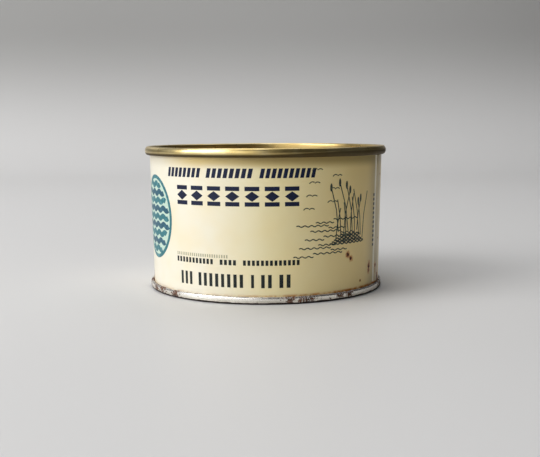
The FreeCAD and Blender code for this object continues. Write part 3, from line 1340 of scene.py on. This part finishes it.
class Prints:
    """Prints of the can: rows of marks, a banner of lozenges, a medallion and a shore sketch."""

    HEADLINE = Row("headline", ((-38.6, -22.6), (-20.6, -3.9), (-1.9, 17.5)),
                   low=42.4, high=45.6, mark=1.35, pitch=2.0, lean=0.7)
    FAINT = Row("faint_row", ((-34.4, -12.6),), low=15.4, high=16.5, mark=0.45, pitch=0.9)
    SMALL = Row("small_row", ((-34.5, -18.0), (-15.9, -9.5), (-7.6, 12.2)),
                low=13.1, high=14.9, mark=0.95, pitch=1.5)
    QUANTITY = Row("quantity_row", ((-32.6, -26.3), (-24.5, -6.6), (-4.9, -3.0), (-1.5, 3.2), (4.7, 9.7)),
                   low=5.5, high=10.0, mark=1.15, pitch=2.2)

    def __init__(self, wall: Object) -> None:
        """Mix the inks.

        Args:
            wall: the can's body, which takes the prints.
        """
        self.wall = wall
        self.navy = PrintingInk("navy_ink", "#041233", "#0C1F42").build()
        self.slate = PrintingInk("slate_ink", "#1A211F", "#2B3430").build()
        self.faint = PrintingInk("faint_grey_ink", "#A9A58C", "#C4BE9E").build()
        self.sketch = PrintingInk("sketch_ink", "#323C36", "#626C58").build()
        self.teal = PrintingInk("teal_ink", "#2A6F78", "#5C9AA0").build()
        self.blue = PrintingInk("blue_ink", "#1E5468", "#44798A").build()
        self.pale = PrintingInk("pale_ink", "#BFD6C6", "#D2DFCC").build()

    def rows(self) -> None:
        """Print the rows of marks."""
        for row, ink in ((self.HEADLINE, self.navy), (self.FAINT, self.faint),
                         (self.SMALL, self.slate), (self.QUANTITY, self.slate)):
            layer = InkLayer(row.name, ink)
            row.draw(layer)
            layer.print_on(self.wall)

    def banner(self) -> None:
        """Print the row of lozenges."""
        layer = InkLayer("banner", self.navy)
        Banner().draw(layer)
        layer.print_on(self.wall)

    def medallion(self) -> None:
        """Print the oval: its field, its rim and its bands in two inks."""
        medallion = Medallion()
        field_layer = InkLayer("medallion_field", self.pale, medallion.field_proud)
        medallion.draw_field(field_layer)
        field_layer.print_on(self.wall)
        rim = InkLayer("medallion_rim", self.teal, medallion.bands_proud)
        medallion.draw_rim(rim)
        rim.print_on(self.wall)
        for first, (name, ink) in enumerate((("medallion_teal", self.teal), ("medallion_blue", self.blue))):
            bands = InkLayer(name, ink, medallion.bands_proud)
            medallion.draw_bands(bands, first)
            bands.print_on(self.wall)

    def shore(self) -> None:
        """Print the sketch of the shore."""
        shore = Shore()
        layer = InkLayer("shore_sketch", self.sketch)
        shore.draw_water(layer)
        shore.draw_reeds(layer)
        shore.draw_birds(layer)
        layer.print_on(self.wall)

    def seam_marks(self) -> None:
        """Print the column of marks beside the side seam, which the back doesn't have."""
        layer = InkLayer("seam_marks", self.slate)
        SeamColumn().draw(layer)
        layer.print_on(self.wall, both_panels=False)

    def build(self) -> None:
        """Print everything."""
        self.rows()
        self.banner()
        self.medallion()
        self.shore()
        self.seam_marks()


# ---- Studio ---------------------------------------------------------------------------------


@dataclass(frozen=True)
class SoftBox:
    """Soft lamp: its middle, the point that it faces, its width and height in metres, its watts."""

    name: str
    place: tuple[float, float, float]
    aim: tuple[float, float, float]
    size: tuple[float, float]
    power: float

    def hang(self) -> None:
        """Hang the lamp in the room."""
        data = bpy.data.lights.new(self.name, "AREA")
        data.shape = "RECTANGLE"
        data.size, data.size_y = self.size
        data.energy = self.power
        lamp = bpy.data.objects.new(self.name, data)
        lamp.location = self.place
        lamp.rotation_euler = (Vector(self.aim) - Vector(self.place)).to_track_quat("-Z", "Y").to_euler()
        bpy.context.collection.objects.link(lamp)


@dataclass(frozen=True)
class PaperSweep:
    """Paper rolled out over the table and bent up behind the can; sizes in metres."""

    front: float = 0.9        # from the can's axis to the paper's front end
    right: float = 0.55       # from the can's axis to its right side
    width: float = 1.2
    table: float = 1.6        # length that lies on the table
    bend: float = 0.45
    rise: float = 1.2         # height of the flat part behind the bend

    def build(self) -> Object:
        """Lay the paper.

        Returns:
            The finished paper.
        """
        piece = new_mesh("paper_sweep")
        piece.data.materials.append(GreyPaper().build())
        with editing(piece):
            line = Tracer((-self.front, 0.0), heading=0)
            line.run(self.table)
            line.bend(Side.LEFT, self.bend, 90, steps=24)
            line.run(self.rise)
            bpy.ops.mesh.select_all(action="SELECT")
            bpy.ops.mesh.extrude_edges_move(TRANSFORM_OT_translate={"value": (0, self.width, 0)})
            bpy.ops.mesh.select_all(action="SELECT")
            bpy.ops.transform.translate(value=(0, -self.right, 0))
        turn_about_axis(piece, math.pi / 2)
        for polygon in piece.data.polygons:
            polygon.select = True
        with editing(piece, Parts.FACES):
            if piece.data.polygons[0].normal.z < 0:
                bpy.ops.mesh.flip_normals()
        smooth(piece, SHARP_EDGE)
        return piece


@dataclass(frozen=True)
class Room:
    """Glow of the room, a little stronger on the window's side."""

    colour: str = "#F4F6FA"
    span: tuple[float, float] = (-0.8, 0.2)           # direction across, from the window on
    strength: tuple[float, float] = (0.2, 0.05)

    def build(self) -> None:
        """Set the world that glows so."""
        world = bpy.data.worlds.new("room")
        world.use_nodes = True
        tree = world.node_tree
        glow = tree.nodes["Background"]
        glow.inputs["Color"].default_value = linear(self.colour)
        way = add_node(tree, "TexCoord").outputs["Generated"]
        across = add_node(tree, "SeparateXYZ", (way,)).outputs["X"]
        level = add_node(tree, "MapRange", (across, *self.span, *self.strength))
        tree.links.new(live_output(level), glow.inputs["Strength"])
        bpy.context.scene.world = world


@dataclass(frozen=True)
class Camera:
    """Camera in front of the can and a little above it; metres, degrees and millimetres."""

    place: tuple[float, float, float] = (0.001576, -0.33234, 0.05936)
    tilt: float = 83.376      # from straight down
    roll: float = -0.297
    lens: float = 58.57
    sensor: float = 36.0

    def build(self) -> None:
        """Set up the camera and plain colour output."""
        data = bpy.data.cameras.new("camera")
        data.lens = self.lens
        data.sensor_width = self.sensor
        camera = bpy.data.objects.new("camera", data)
        tilt = Matrix.Rotation(math.radians(self.tilt), 4, "X")
        roll = Matrix.Rotation(math.radians(self.roll), 4, "Z")
        camera.matrix_world = Matrix.Translation(self.place) @ tilt @ roll
        bpy.context.collection.objects.link(camera)
        bpy.context.scene.camera = camera
        bpy.context.scene.view_settings.view_transform = "Standard"


class Studio:
    """Paper sweep, soft lamps, room and camera."""

    LAMPS = (
        SoftBox("window", (-1.14, -0.52, 0.78), (0, 0, 0.02), (0.8, 0.9), 11.2),
        SoftBox("window_wall", (-0.95, -0.85, 0.55), (0, 0, 0.03), (2.2, 1.1), 10.0),
        SoftBox("ceiling", (0.1, 0.6, 1.1), (0.1, 0.6, 0), (1.0, 0.9), 4.1),
        SoftBox("top", (-0.4, -0.05, 1.15), (-0.1, -0.05, 0), (0.9, 0.9), 4.2),
        SoftBox("far_left", (-0.62, 0.84, 0.45), (-0.32, 0.76, 0), (0.6, 0.4), 0.5),
    )

    def build(self) -> None:
        """Set up the studio."""
        LOG.info("stage %s", PaperSweep().build().name)
        Room().build()
        for lamp in self.LAMPS:
            lamp.hang()
        Camera().build()


def main() -> None:
    """Build the dressed can and the studio."""
    logging.basicConfig(level=logging.INFO)
    sizes = CanSizes()
    gold = GoldLacquer().build(sizes)
    body = CanBody(sizes, (gold, CreamEnamel().build(sizes))).build()
    LOG.info("piece %s", body.name)
    end = CanEnd(sizes, (gold, DullTinplate().build(sizes))).build()
    LOG.info("piece %s", end.name)
    Prints(body).build()
    Studio().build()


if __name__ == "__main__":
    main()
